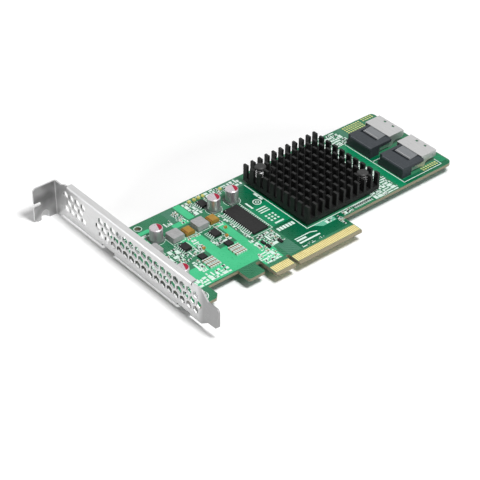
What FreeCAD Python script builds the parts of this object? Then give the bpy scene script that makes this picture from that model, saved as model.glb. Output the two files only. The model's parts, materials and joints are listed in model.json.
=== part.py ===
import FreeCAD, Part
import math
import os
from FreeCAD import Vector

# A storage controller card: a circuit board with an edge connector, a folded steel slot bracket,
# a pin-fin heatsink held by two sprung push pins, two cable ports and the parts of its power supply.
#
# Everything is laid out in millimetres from three datums of the card itself:
#   X from the outer face of the bracket towards the cable ports,
#   Y from the edge of the contact tongue towards the bracket's screw tab,
#   Z from the board's component side, upwards.
# save() moves each shape from there to the part's own frame, whose origin is the middle of the
# bottom of the whole card.

# ---- board ----
BOARD_T = 1.57
BOARD_LEFT, BOARD_RIGHT = 2.9, 167.6
BOARD_FRONT, BOARD_BACK = 13.2, 69.6
BOARD_EAR_RIGHT, BOARD_EAR_FRONT = 15.2, 4.4
HOOK_LEFT, HOOK_RIGHT, HOOK_FRONT = 32.3, 41.6, 5.2
HOOK_SLOT_END = 12.6
TOOLING_HOLE = (16.7, 66.0, 1.4)

# ---- edge connector: 49 contacts a side, a key notch after the eleventh ----
FIRST_CONTACT_X = 45.0
CONTACT_PITCH, CONTACT_W = 1.0, 0.7
CONTACTS_BEFORE_KEY, CONTACTS_AFTER_KEY = 11, 38
KEY_STEP = 3.0
KEY_NOTCH_W, KEY_NOTCH_DEPTH = 1.9, 8.25
TONGUE_MARGIN = 0.65
BEVEL_LENGTH, BEVEL_DEPTH = 1.4, 0.5
CONTACT_START, CONTACT_END, CONTACT_T = 1.5, 5.9, 0.05

# ---- bracket: folded from 0.86 mm steel ----
SHEET_T = 0.86
BEND_IN = 0.4
BEND_OUT = BEND_IN + SHEET_T
BRACKET_LENGTH, BRACKET_WIDTH = 120.02, 18.42
FACE_BOTTOM = -4.25
FACE_TOP = FACE_BOTTOM + BRACKET_WIDTH
TAB_Y = 107.69
TANG_Y = TAB_Y - BRACKET_LENGTH
TAB_DEPTH = 11.43 + SHEET_T
TAB_BOTTOM, TAB_TOP = -6.3, 12.6
TAB_SLOT_X, TAB_SLOT_Z, TAB_SLOT_W = -8.5, 3.4, 1.8
TANG_BEND_Y, TANG_SHIFT = -5.5, 0.25
LIP_X, LIP_START, LIP_END = 3.1, 6.0, 97.6
NOTCH_X, NOTCH_W, NOTCH_TOP = -6.4, 4.42, -1.3
VENT_PITCH, VENT_FLATS = 4.55, 3.5
VENT_FIRST_Y, VENT_LOW_Z = 2.95, 1.05
EAR_MIDDLE_Y, EAR_HOLE_Y = (11.2, 66.1), (9.9, 66.1)
EAR_HOLE_X, EAR_LENGTH, EAR_W = 8.3, 12.6, 7.6
EAR_STEP_START, EAR_STEP_END = 2.4, 4.4
EAR_ROOT_H, EAR_RELIEF_W, EAR_RELIEF_H = 2.2, 0.9, 1.1
LIP_ROOT_H, LIP_RELIEF_H = 3.0, 1.6
SCREW_R, SCREW_HEAD_R, SCREW_HEAD_H, SCREW_RIM_H = 1.5, 2.9, 1.7, 0.8
CROSS_LENGTH, CROSS_W, CROSS_DEPTH = 2.8, 0.6, 0.9

# ---- heatsink, chip and push pins ----
SINK_CENTRE = (100.35, 40.95)
SINK_X, SINK_Y = 44.9, 46.1
SINK_BOTTOM, SINK_BASE_T, SINK_TOP = 1.45, 2.25, 10.5
FIN_COLUMNS, FIN_ROWS = 11, 10
FIN_X, FIN_Y = 1.2, 2.7
CHIP_SIZE, CHIP_H, CHIP_LID = 27.0, 1.25, 21.0
PUSH_DX, PUSH_DY = 16.9, 17.2
PUSH_R, PUSH_HOLE_R, PUSH_HEAD_R, PUSH_HEAD_T, PUSH_TOP = 1.35, 1.5, 2.75, 1.3, 10.4
PRONG_GAP, PRONG_W, PRONG_ROOT, PRONG_BARB, PRONG_TIP, PRONG_LENGTH = 0.6, 1.3, 1.2, 1.8, 0.7, 3.0
SPRING_R, SPRING_WIRE_R, SPRING_TURNS, SPRING_STEPS, WIRE_SIDES = 2.05, 0.28, 4, 8, 4

# ---- cable ports ----
PORT_FRONT_Y = (17.9, 40.2)
PORT_BACK_X, PORT_FACE_X, PORT_MOUTH_X = 138.2, 152.3, 162.0
HOUSING_W, HOUSING_H, HOUSING_EDGE = 16.6, 5.7, 0.5
SHIELD_OFFSET, SHIELD_W, SHIELD_TOP, SHIELD_T = 1.4, 17.1, 6.3, 0.35
ARM_START_X, POCKET_DEPTH = PORT_BACK_X + 6.0, 1.4
WELL_X, WELL_START, WELL_END, WELL_DEPTH = PORT_BACK_X + 7.0, 3.8, 15.0, 1.2
LATCH_START, LATCH_END, LATCH_REACH = 4.1, 14.6, 5.3
REAR_LEG_X, FRONT_LEG_X = PORT_BACK_X + 7.2, PORT_FACE_X + 1.2
LEG_W, LEG_REACH, LEG_SLOT_X, LEG_SLOT_Y = 0.8, 1.0, 0.5, 0.3
NOSE_LENGTH, NOSE_W, NOSE_BOTTOM, NOSE_TOP = 4.2, 14.2, 1.3, 4.7
SLOT_W, SLOT_BOTTOM, SLOT_TOP, SLOT_END = 13.2, 2.5, 3.5, 0.9
PORT_CONTACTS, PORT_CONTACT_PITCH, PORT_CONTACT_T, PORT_CONTACT_LENGTH = 18, 0.7, 0.15, 2.9

# ---- frame of the part: middle of the bottom of the whole card ----
ORIGIN = Vector((BOARD_RIGHT - TAB_DEPTH) / 2, (TAB_Y + TANG_Y) / 2, TAB_BOTTOM)


def box(x0, y0, z0, x1, y1, z1):
    return Part.makeBox(x1 - x0, y1 - y0, z1 - z0, Vector(x0, y0, z0))


def cylinder(x, y, z0, z1, radius):
    return Part.makeCylinder(radius, z1 - z0, Vector(x, y, z0))


def rounded_wire(corners, place):
    """Closed wire through corners (u, v), each sharp, (u, v, radius) rounded or (u, v, -length)
    cut off by that length along both sides; place turns (u, v) into a point."""
    edges = []
    ends = []
    count = len(corners)
    for i in range(count):
        here = corners[i]
        corner = Vector(here[0], here[1], 0)
        size = here[2] if len(here) > 2 else 0
        if size == 0:
            ends.append((corner, None, corner))
            continue
        to_prev = (Vector(*corners[i - 1][:2], 0) - corner).normalize()
        to_next = (Vector(*corners[(i + 1) % count][:2], 0) - corner).normalize()
        if size < 0:
            ends.append((corner - to_prev * size, None, corner - to_next * size))
            continue
        half = to_prev.getAngle(to_next) / 2
        cut = size / math.tan(half)
        centre_dir = (to_prev + to_next).normalize()
        middle = corner + centre_dir * (size / math.sin(half) - size)
        ends.append((corner + to_prev * cut, middle, corner + to_next * cut))
    for i in range(count):
        start, middle, end = (p and place(p.x, p.y) for p in ends[i])
        if middle:
            edges.append(Part.Arc(start, middle, end).toShape())
        elif (end - start).Length > 1e-6:
            edges.append(Part.makeLine(start, end))
        follow = ends[(i + 1) % count][0]
        follow = place(follow.x, follow.y)
        if (follow - end).Length > 1e-6:
            edges.append(Part.makeLine(end, follow))
    return Part.Wire(edges)


def plate_z(corners, z0, z1):
    """Outline in X and Y, from height z0 to z1."""
    face = Part.Face(rounded_wire(corners, lambda u, v: Vector(u, v, z0)))
    return face.extrude(Vector(0, 0, z1 - z0))


def plate_x(corners, x0, x1):
    """Outline in Y and Z, from x0 to x1."""
    face = Part.Face(rounded_wire(corners, lambda u, v: Vector(x0, u, v)))
    return face.extrude(Vector(x1 - x0, 0, 0))


def plate_y(corners, y0, y1):
    """Outline in X and Z, from y0 to y1."""
    face = Part.Face(rounded_wire(corners, lambda u, v: Vector(u, y0, v)))
    return face.extrude(Vector(0, y1 - y0, 0))


def turned(profile, x, y):
    """Solid of revolution about the vertical through (x, y) from a profile of (radius, height)."""
    points = [Vector(x + r, y, z) for r, z in profile]
    face = Part.Face(Part.makePolygon(points + points[:1]))
    return face.revolve(Vector(x, y, 0), Vector(0, 0, 1), 360)


def save(name, *shapes):
    solids = []
    for shape in shapes:
        solids.extend(shape.Solids)
    whole = solids[0] if len(solids) == 1 else Part.makeCompound(solids)
    whole = whole.copy()
    whole.translate(ORIGIN.negative())
    whole.exportStep("parts/" + name + ".step")


# ---------------------------------------------------------------- board

def contact_xs():
    first = [FIRST_CONTACT_X + i * CONTACT_PITCH for i in range(CONTACTS_BEFORE_KEY)]
    resume = first[-1] + KEY_STEP
    return first + [resume + i * CONTACT_PITCH for i in range(CONTACTS_AFTER_KEY)]


def key_centre_x():
    return FIRST_CONTACT_X + (CONTACTS_BEFORE_KEY - 1) * CONTACT_PITCH + KEY_STEP / 2


def push_pin_places():
    cx, cy = SINK_CENTRE
    return [(cx - PUSH_DX, cy + PUSH_DY), (cx + PUSH_DX, cy - PUSH_DY)]


def shield_leg_places(y0):
    """X and Y of the middle of each solder leg of the port whose housing starts at y0."""
    near = y0 + SHIELD_OFFSET + SHIELD_T / 2
    far = near + SHIELD_W - SHIELD_T
    return [(x, y) for x in (REAR_LEG_X, FRONT_LEG_X) for y in (near, far)]


def board_outline():
    tongue_left = FIRST_CONTACT_X - TONGUE_MARGIN
    tongue_right = contact_xs()[-1] + TONGUE_MARGIN
    notch_left = key_centre_x() - KEY_NOTCH_W / 2
    notch_right = key_centre_x() + KEY_NOTCH_W / 2
    notch_r = KEY_NOTCH_W / 2 - 0.05
    return [(BOARD_LEFT, BOARD_EAR_FRONT, -0.5), (BOARD_EAR_RIGHT, BOARD_EAR_FRONT, -2.3),
            (BOARD_EAR_RIGHT, BOARD_FRONT), (HOOK_LEFT, BOARD_FRONT), (HOOK_LEFT, HOOK_FRONT, 1.2),
            (HOOK_RIGHT, HOOK_FRONT, 1.2), (HOOK_RIGHT, HOOK_SLOT_END, -0.5),
            (tongue_left, HOOK_SLOT_END, -0.5),
            (tongue_left, 0, -0.5), (notch_left, 0, -0.4), (notch_left, KEY_NOTCH_DEPTH, notch_r),
            (notch_right, KEY_NOTCH_DEPTH, notch_r), (notch_right, 0, -0.4), (tongue_right, 0, -0.5),
            (tongue_right, BOARD_FRONT, -0.4), (BOARD_RIGHT, BOARD_FRONT, 3.0),
            (BOARD_RIGHT, BOARD_BACK, 2.0), (BOARD_LEFT, BOARD_BACK, -0.8)]


def circuit_board():
    board = plate_z(board_outline(), -BOARD_T, 0)
    slope = BEVEL_DEPTH / BEVEL_LENGTH
    bevel = [(BEVEL_LENGTH, 0), (-1, -BEVEL_DEPTH - slope), (-1, 1), (BEVEL_LENGTH, 1)]
    span = (FIRST_CONTACT_X - 1, contact_xs()[-1] + 1)
    top = plate_x(bevel, *span)
    bottom = plate_x([(y, -BOARD_T - z) for y, z in bevel], *span)
    cuts = [top, bottom]
    holes = [(EAR_HOLE_X, y, SCREW_R + 0.1) for y in EAR_HOLE_Y] + [TOOLING_HOLE]
    holes += [(x, y, PUSH_HOLE_R) for x, y in push_pin_places()]
    cuts += [cylinder(x, y, -BOARD_T - 1, 1, r) for x, y, r in holes]
    for y0 in PORT_FRONT_Y:
        for x, y in shield_leg_places(y0):
            cuts.append(box(x - LEG_SLOT_X, y - LEG_SLOT_Y, -BOARD_T - 1, x + LEG_SLOT_X, y + LEG_SLOT_Y, 1))
    return board.cut(cuts)


def edge_contacts(z0, z1):
    half = CONTACT_W / 2
    return [box(x - half, CONTACT_START, z0, x + half, CONTACT_END, z1) for x in contact_xs()]


# ---------------------------------------------------------------- bracket

def bracket_section():
    """Top view of the sheet: tang, face, bend and screw tab, as one closed wire."""
    def at(u, v):
        return Vector(u, v, TAB_BOTTOM)
    corners = [(TANG_SHIFT, TANG_Y), (SHEET_T + TANG_SHIFT, TANG_Y), (SHEET_T, TANG_BEND_Y),
               (SHEET_T, TAB_Y, BEND_OUT), (-TAB_DEPTH, TAB_Y), (-TAB_DEPTH, TAB_Y - SHEET_T),
               (0, TAB_Y - SHEET_T, BEND_IN), (0, TANG_BEND_Y)]
    return Part.Face(rounded_wire(corners, at)).extrude(Vector(0, 0, FACE_TOP - TAB_BOTTOM))


def face_outline():
    tang_low, tang_high = -1.0, 9.9
    return [(TANG_Y, tang_low, -1.9), (TANG_BEND_Y, tang_low, 0.6), (-0.8, FACE_BOTTOM, 0.8),
            (101.6, FACE_BOTTOM, 0.8), (104.4, TAB_BOTTOM, 0.8), (TAB_Y + 1, TAB_BOTTOM),
            (TAB_Y + 1, TAB_TOP), (102.3, TAB_TOP), (99.2, FACE_TOP, 0.8),
            (-1.2, FACE_TOP, 0.8), (TANG_BEND_Y, tang_high + 0.3), (TANG_Y, tang_high, -1.0)]


def tab_outline():
    left = -TAB_DEPTH
    notch_left, notch_right = NOTCH_X - NOTCH_W / 2, NOTCH_X + NOTCH_W / 2
    notch_r = NOTCH_W / 2 - 0.01
    slot_low, slot_high = TAB_SLOT_Z - TAB_SLOT_W / 2, TAB_SLOT_Z + TAB_SLOT_W / 2
    slot_r = TAB_SLOT_W / 2 - 0.05
    return [(1, TAB_TOP), (left, TAB_TOP, -1.2), (left, slot_high, -0.3), (TAB_SLOT_X, slot_high, slot_r),
            (TAB_SLOT_X, slot_low, slot_r), (left, slot_low, -0.3), (left, TAB_BOTTOM, -1.6),
            (notch_left, TAB_BOTTOM, -0.3), (notch_left, NOTCH_TOP, notch_r),
            (notch_right, NOTCH_TOP, notch_r), (notch_right, TAB_BOTTOM, -0.3), (1, TAB_BOTTOM)]


def vent_centres():
    row_step = VENT_PITCH * math.sqrt(3) / 2
    outer = list(range(0, 16)) + list(range(18, 22))
    inner = list(range(0, 17)) + list(range(19, 22))
    centres = []
    for row, columns, shift in ((0, outer, 0), (1, inner, -VENT_PITCH / 2), (2, outer, 0)):
        for column in columns:
            centres.append((VENT_FIRST_Y + column * VENT_PITCH + shift, VENT_LOW_Z + row * row_step))
    return centres


def vent_hole(y, z):
    radius = VENT_FLATS / math.sqrt(3)
    corners = [(y + radius * math.sin(i * math.pi / 3), z + radius * math.cos(i * math.pi / 3))
               for i in range(6)]
    return plate_x(corners, -1, SHEET_T + 1)


def lip():
    """The long edge folded towards the board, with a rounded bend."""
    root = FACE_TOP - LIP_ROOT_H
    corners = [(0, root), (0, FACE_TOP, BEND_OUT), (LIP_X, FACE_TOP), (LIP_X, FACE_TOP - SHEET_T),
               (SHEET_T, FACE_TOP - SHEET_T, BEND_IN), (SHEET_T, root)]
    return plate_y(corners, LIP_START, LIP_END)


def ear(middle_y, hole_y):
    """A lug folded in from the face's lower edge and stepped up against the underside of the board."""
    low, high, root, t = FACE_BOTTOM, -BOARD_T - SHEET_T, FACE_BOTTOM + EAR_ROOT_H, SHEET_T
    slope = math.atan2(high - low, EAR_STEP_END - EAR_STEP_START)
    back = t * math.tan(slope / 2)
    corners = [(0, root), (0, low, BEND_OUT), (EAR_STEP_START, low), (EAR_STEP_END, high),
               (EAR_LENGTH, high), (EAR_LENGTH, high + t), (EAR_STEP_END - back, high + t),
               (EAR_STEP_START - back, low + t), (t, low + t, BEND_IN), (t, root)]
    y0, y1 = middle_y - EAR_W / 2, middle_y + EAR_W / 2
    trim = plate_z([(-1, y0), (EAR_LENGTH, y0, -1.6), (EAR_LENGTH, y1, -1.6), (-1, y1)], low - 1, high + 3)
    hole = cylinder(EAR_HOLE_X, hole_y, high - 1, high + t + 1, SCREW_R)
    return plate_y(corners, y0, y1).common(trim).cut(hole)


def bracket():
    sheet = bracket_section()
    face = plate_x(face_outline(), -1, SHEET_T + TANG_SHIFT + 1)
    tab = plate_y(tab_outline(), TAB_Y - SHEET_T - 1, TAB_Y + 1)
    tab_zone = box(-TAB_DEPTH - 1, TAB_Y - BEND_OUT - 1, TAB_BOTTOM - 1, 0, TAB_Y + 1, FACE_TOP + 1)
    body = sheet.cut(tab_zone).common(face).fuse(sheet.common(tab_zone).common(tab))
    relief_start = LIP_START - EAR_RELIEF_W
    cuts = [box(-1, LIP_START, FACE_TOP - LIP_ROOT_H, LIP_X + 1, LIP_END, FACE_TOP + 1),
            box(-1, relief_start, FACE_TOP - LIP_RELIEF_H, SHEET_T + 1, LIP_START, FACE_TOP + 1)]
    for y in EAR_MIDDLE_Y:
        y0, y1 = y - EAR_W / 2, y + EAR_W / 2
        cuts.append(box(-1, y0, FACE_BOTTOM - 1, 2, y1, FACE_BOTTOM + 1.5))
        for notch in (y0 - EAR_RELIEF_W, y1):
            cuts.append(box(-1, notch, FACE_BOTTOM - 1, 2, notch + EAR_RELIEF_W, FACE_BOTTOM + EAR_RELIEF_H))
    cuts += [vent_hole(y, z) for y, z in vent_centres()]
    body = body.cut(cuts)
    body = body.fuse([lip()] + [ear(middle, hole) for middle, hole in zip(EAR_MIDDLE_Y, EAR_HOLE_Y)])
    return body.removeSplitter()


def bracket_screw(y):
    """Pan head on the board, shank through it, thread in the bracket's ear."""
    end = -BOARD_T - SHEET_T - 0.8
    screw = turned([(0, end), (SCREW_R, end), (SCREW_R, 0), (SCREW_HEAD_R, 0), (SCREW_HEAD_R, SCREW_RIM_H),
                    (SCREW_HEAD_R - 0.9, SCREW_HEAD_H), (0, SCREW_HEAD_H)], EAR_HOLE_X, y)
    floor, top = SCREW_HEAD_H - CROSS_DEPTH, SCREW_HEAD_H + 1
    cross = [box(EAR_HOLE_X - a, y - b, floor, EAR_HOLE_X + a, y + b, top)
             for a, b in ((CROSS_LENGTH / 2, CROSS_W / 2), (CROSS_W / 2, CROSS_LENGTH / 2))]
    return screw.cut(cross)


# ---------------------------------------------------------------- heatsink and chip

def controller_chip():
    cx, cy = SINK_CENTRE
    half, lid = CHIP_SIZE / 2, CHIP_LID / 2
    package = box(cx - half, cy - half, 0, cx + half, cy + half, CHIP_H / 2)
    return package.fuse(box(cx - lid, cy - lid, CHIP_H / 2, cx + lid, cy + lid, CHIP_H)).removeSplitter()


def thermal_pad():
    cx, cy = SINK_CENTRE
    half = CHIP_LID / 2
    return box(cx - half, cy - half, CHIP_H, cx + half, cy + half, SINK_BOTTOM)


def heatsink():
    cx, cy = SINK_CENTRE
    x0, y0 = cx - SINK_X / 2, cy - SINK_Y / 2
    base_top = SINK_BOTTOM + SINK_BASE_T
    step_x = (SINK_X - FIN_X) / (FIN_COLUMNS - 1)
    step_y = (SINK_Y - FIN_Y) / (FIN_ROWS - 1)
    room = PUSH_HEAD_R + 0.2
    body = box(x0, y0, SINK_BOTTOM, x0 + SINK_X, y0 + SINK_Y, base_top)
    fins = []
    for column in range(FIN_COLUMNS):
        for row in range(FIN_ROWS):
            x, y = x0 + column * step_x, y0 + row * step_y
            if not any(x - room < px < x + FIN_X + room and y - room < py < y + FIN_Y + room
                       for px, py in push_pin_places()):
                fins.append(box(x, y, base_top - 0.1, x + FIN_X, y + FIN_Y, SINK_TOP))
    holes = [cylinder(x, y, SINK_BOTTOM - 1, base_top + 1, PUSH_HOLE_R) for x, y in push_pin_places()]
    return body.fuse(fins).cut(holes).removeSplitter()


def push_pin(x, y):
    """Head and stem through sink and board, with two barbed prongs that grip under the board."""
    under, collar = -BOARD_T, PUSH_TOP - PUSH_HEAD_T
    stem = turned([(0, under), (PUSH_R, under), (PUSH_R, collar), (PUSH_HEAD_R, collar),
                   (PUSH_HEAD_R, PUSH_TOP - 0.4), (PUSH_HEAD_R - 0.5, PUSH_TOP), (0, PUSH_TOP)], x, y)
    prong = [(PRONG_GAP / 2, under), (PRONG_ROOT, under), (PRONG_BARB, under - 0.3),
             (PRONG_TIP, under - PRONG_LENGTH), (PRONG_GAP / 2, under - PRONG_LENGTH)]
    prongs = [plate_y([(x + side * u, z) for u, z in prong], y - PRONG_W / 2, y + PRONG_W / 2)
              for side in (-1, 1)]
    return stem.fuse(prongs)


def push_spring(x, y):
    """Coil between the sink's base and the pin's head, lofted through sections of its wire."""
    low = SINK_BOTTOM + SINK_BASE_T + SPRING_WIRE_R
    rise = PUSH_TOP - PUSH_HEAD_T - SPRING_WIRE_R - low
    count = SPRING_TURNS * SPRING_STEPS
    sections = []
    for i in range(count + 1):
        turn = 2 * math.pi * i / SPRING_STEPS
        ring = []
        for k in range(WIRE_SIDES + 1):
            around = 2 * math.pi * k / WIRE_SIDES
            radius = SPRING_R + SPRING_WIRE_R * math.cos(around)
            z = low + rise * i / count + SPRING_WIRE_R * math.sin(around)
            ring.append(Vector(x + radius * math.cos(turn), y + radius * math.sin(turn), z))
        sections.append(Part.makePolygon(ring))
    return Part.makeLoft(sections, True, True)


# ---------------------------------------------------------------- cable ports

def port_middle(y0):
    """Centre line of the socket of the port whose housing starts at y0."""
    return y0 + SHIELD_OFFSET + SHIELD_W / 2


def port_housing(y0):
    y1, middle = y0 + HOUSING_W, port_middle(y0)
    x0, x1, top = PORT_BACK_X, PORT_FACE_X, HOUSING_H
    body = plate_y([(x0, 0), (x1, 0), (x1, top), (x0, top, -HOUSING_EDGE)], y0, y1)
    side = SHIELD_OFFSET + SHIELD_T
    nose = box(x1 - 0.1, middle - NOSE_W / 2, NOSE_BOTTOM, x1 + NOSE_LENGTH, middle + NOSE_W / 2, NOSE_TOP)
    arm_pocket = box(ARM_START_X, y0 - 1, -1, x1 + 1, y0 + side, top - POCKET_DEPTH)
    rear_notch = box(x0 - 1, y1 - 1.9, 3.0, x0 + 1.0, y1 + 1, top + 1)
    latch_well = box(WELL_X, y0 + WELL_START, top - WELL_DEPTH, x1 + 1, y0 + WELL_END, top + 1)
    slot = box(x1 + SLOT_END, middle - SLOT_W / 2, SLOT_BOTTOM,
               x1 + NOSE_LENGTH + 1, middle + SLOT_W / 2, SLOT_TOP)
    return body.cut([arm_pocket, rear_notch, latch_well]).fuse(nose).cut(slot).removeSplitter()


def shield_side(y, x0):
    """One side wall: full height by the housing, cut away in an arc towards the mouth."""
    low, top = 0.2, SHIELD_TOP
    strip_low, strip_high, cut_z = 0.7, 2.6, 2.7
    x1, x2 = PORT_FACE_X, PORT_MOUTH_X
    corners = [(x0, strip_low, -0.3), (x1 - 0.3, strip_low), (x1 - 0.3, low), (x1 + 2.4, low),
               (x1 + 2.4, cut_z, 2.0), (x2, cut_z, -0.6), (x2, top), (x1, top), (x1, strip_high),
               (x0, strip_high, -0.3)]
    wall = plate_y(corners, y, y + SHIELD_T)
    window, middle = 0.4, (strip_low + strip_high) / 2
    return wall.cut(box(x0 + 1.4 - window, y - 1, middle - window, x0 + 1.4 + window, y + 1, middle + window))


def port_shield(y0):
    near = y0 + SHIELD_OFFSET
    far = near + SHIELD_W
    roof = plate_z([(PORT_FACE_X, near), (PORT_MOUTH_X, near, 1.2), (PORT_MOUTH_X, far, 1.2),
                    (PORT_FACE_X, far)], SHIELD_TOP - SHIELD_T, SHIELD_TOP)
    walls = [shield_side(near, ARM_START_X), shield_side(far - SHIELD_T, ARM_START_X)]
    legs = []
    for x, y in shield_leg_places(y0):
        legs.append(box(x - LEG_W / 2, y - SHIELD_T / 2, -BOARD_T - LEG_REACH,
                        x + LEG_W / 2, y + SHIELD_T / 2, 1.0))
    middle = port_middle(y0)
    slots = [box(PORT_MOUTH_X - 2.4, middle + s * 2.8 - 0.75, SHIELD_TOP - 1,
                 PORT_MOUTH_X - 1.3, middle + s * 2.8 + 0.75, SHIELD_TOP + 1) for s in (-1, 1)]
    return roof.fuse(walls + legs).cut(slots).removeSplitter()


def port_latch(y0):
    """Spring plate that slopes down from under the shield's roof and ends in a turned-down lip."""
    high, t = SHIELD_TOP - SHIELD_T, SHIELD_T
    free_x, free_z = PORT_FACE_X - LATCH_REACH, HOUSING_H - 0.35
    floor = HOUSING_H - WELL_DEPTH
    bend_x, root_x = PORT_FACE_X + 0.1, PORT_FACE_X + 1.6
    corners = [(root_x, high), (bend_x, high), (free_x, free_z), (free_x, floor), (free_x + t, floor),
               (free_x + t, free_z - t - 0.05), (bend_x, high - t), (root_x, high - t)]
    return plate_y(corners, y0 + LATCH_START, y0 + LATCH_END)


def port_contacts(y0):
    """Two rows of spring contacts, one on each face of the slot in the nose."""
    first = port_middle(y0) - (PORT_CONTACTS - 1) * PORT_CONTACT_PITCH / 2
    thick, half = PORT_CONTACT_T, PORT_CONTACT_T
    x0 = PORT_FACE_X + SLOT_END
    pieces = []
    for i in range(PORT_CONTACTS):
        y = first + i * PORT_CONTACT_PITCH
        for z in (SLOT_BOTTOM, SLOT_TOP - thick):
            pieces.append(box(x0, y - half, z, x0 + PORT_CONTACT_LENGTH, y + half, z + thick))
    return pieces


# ---------------------------------------------------------------- parts on the board

CAN_PLACES = [(18.2, 54.0), (53.3, 55.9), (64.1, 55.8), (9.4, 23.7)]
CAN_R, CAN_H, CAN_BASE_H = 3.15, 7.2, 0.7
INDUCTOR_PLACES = [(39.7, 49.6), (25.4, 49.6), (11.3, 46.6)]
INDUCTOR_SIZE, INDUCTOR_H = 6.3, 3.0
TANTALUM_PLACES = [(46.9, 49.3), (32.6, 49.3)]
TANTALUM_X, TANTALUM_Y, TANTALUM_H = 5.2, 4.6, 2.0
MEMORY_X, MEMORY_Y, MEMORY_H = (54.8, 63.4), (28.7, 51.2), 1.2
MEMORY_LEADS, MEMORY_PITCH, MEMORY_LEAD_EXIT, MEMORY_LEAD_REACH = 16, 1.27, 0.55, 1.7
POWER_CHIP_PLACES = [(24.5, 40.8), (41.4, 40.5), (51.2, 61.9)]
POWER_CHIP_X, POWER_CHIP_Y, POWER_CHIP_H = 4.0, 5.0, 1.5
POWER_LEADS, POWER_PITCH, POWER_LEAD_EXIT, POWER_LEAD_REACH = 4, 1.27, 0.7, 1.1
REGULATOR_PLACES = [(26.4, 30.9), (41.7, 31.0)]
REGULATOR_SIZE, REGULATOR_H = 3.4, 0.9
TRANSISTOR_PLACES = [(54.0, 21.4), (54.2, 18.0), (61.0, 17.6)]
TRANSISTOR_X, TRANSISTOR_Y, TRANSISTOR_H = 1.4, 2.9, 1.0
LIGHT_PLACES = [(47.7, 67.2), (50.6, 67.2), (53.2, 67.2), (55.8, 67.2), (65.6, 66.4)]
LEAD_W, LEAD_T = 0.42, 0.15
CHIP_CAPACITOR_X, CHIP_CAPACITOR_Y, CHIP_CAPACITOR_H = 0.95, 1.9, 0.9
BANK_XS, BANK_Y, BANK_COLUMNS, BANK_ROWS, BANK_STEP_X, BANK_STEP_Y = (24.3, 39.3), 27.3, 5, 3, 1.25, 2.35
RESISTOR_PLACES = [(104.9 + i * 1.3, 15.6) for i in range(9)]
RESISTOR_X, RESISTOR_Y, RESISTOR_H = 0.8, 1.6, 0.45


def capacitor_can(x, y):
    """Drawn aluminium can, crimped in at its base and rounded off at its top."""
    r, low = CAN_R, CAN_BASE_H
    return turned([(0, low), (r - 0.3, low), (r, low + 0.6), (r, CAN_H - 0.35), (r - 0.35, CAN_H), (0, CAN_H)],
                  x, y)


def snipped_square(x, y, half, snips):
    """Square outline whose corners, from the lower left round, are cut off by each of snips."""
    corners = []
    for (sx, sy), snip in zip(((-1, -1), (1, -1), (1, 1), (-1, 1)), snips):
        along_x = (x + sx * (half - snip), y + sy * half)
        along_y = (x + sx * half, y + sy * (half - snip))
        if snip == 0:
            corners.append(along_x)
        else:
            corners += [along_y, along_x] if sx * sy > 0 else [along_x, along_y]
    return corners


def capacitor_base(x, y):
    return plate_z(snipped_square(x, y, CAN_R + 0.15, (0, 1.3, 1.3, 0)), 0, CAN_BASE_H)


def inductor(x, y):
    return plate_z(snipped_square(x, y, INDUCTOR_SIZE / 2, (0.4,) * 4), 0.25, INDUCTOR_H)


def inductor_terminals(x, y):
    reach = INDUCTOR_SIZE / 2
    return [box(x + s * (reach - 0.8) - 0.8, y - 1.3, 0, x + s * (reach - 0.8) + 0.8, y + 1.3, 0.25)
            for s in (-1, 1)]


def tantalum_body(x, y):
    hx, hy = TANTALUM_X / 2 - 0.15, TANTALUM_Y / 2
    outline = [(x - hx, 0.15), (x + hx, 0.15), (x + hx, TANTALUM_H - 0.4), (x + hx - 0.35, TANTALUM_H),
               (x - hx + 0.35, TANTALUM_H), (x - hx, TANTALUM_H - 0.4)]
    return plate_y(outline, y - hy, y + hy)


def tantalum_terminals(x, y):
    """L-shaped foot at each end: under the body and a little way up its end face."""
    pieces = []
    for s in (-1, 1):
        end, inner = x + s * TANTALUM_X / 2, x + s * (TANTALUM_X / 2 - 0.15)
        under = x + s * (TANTALUM_X / 2 - 1.3)
        corners = [(end, 0), (end, 1.0), (inner, 1.0), (inner, 0.15), (under, 0.15), (under, 0)]
        pieces.append(plate_y(corners, y - 1.2, y + 1.2))
    return pieces


def moulded_chip(x0, x1, y0, y1, z0, z1, draft=0.12):
    """Moulded package whose upper half leans in a little on all four sides."""
    middle = (z0 + z1) / 2
    def ring(inset, z):
        corners = [(x0 + inset, y0 + inset), (x1 - inset, y0 + inset), (x1 - inset, y1 - inset),
                   (x0 + inset, y1 - inset)]
        return Part.makePolygon([Vector(x, y, z) for x, y in corners + corners[:1]])
    return Part.makeLoft([ring(draft, z0), ring(0, middle), ring(draft, z1)], True, True)


def gull_lead(x_body, side, y, z_exit, reach):
    """Lead that leaves the body at x_body, bends down and ends in a flat foot on the board."""
    toe = x_body + side * reach
    heel = toe - side * reach * 0.45
    corners = [(x_body, z_exit), (heel - side * LEAD_T, 0), (toe, 0), (toe, LEAD_T), (heel, LEAD_T),
               (x_body, z_exit + LEAD_T)]
    return plate_y(corners, y - LEAD_W / 2, y + LEAD_W / 2)


def memory_leads():
    middle = sum(MEMORY_Y) / 2
    first = middle - (MEMORY_LEADS - 1) * MEMORY_PITCH / 2
    leads = []
    for side, x in ((-1, MEMORY_X[0]), (1, MEMORY_X[1])):
        for i in range(MEMORY_LEADS):
            y = first + i * MEMORY_PITCH
            leads.append(gull_lead(x, side, y, MEMORY_LEAD_EXIT, MEMORY_LEAD_REACH))
    return leads


def power_chip_leads(x, y):
    leads = []
    for side in (-1, 1):
        x_body = x + side * POWER_CHIP_X / 2
        for i in range(POWER_LEADS):
            lead_y = y + (i - (POWER_LEADS - 1) / 2) * POWER_PITCH
            leads.append(gull_lead(x_body, side, lead_y, POWER_LEAD_EXIT, POWER_LEAD_REACH))
    return leads


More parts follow.
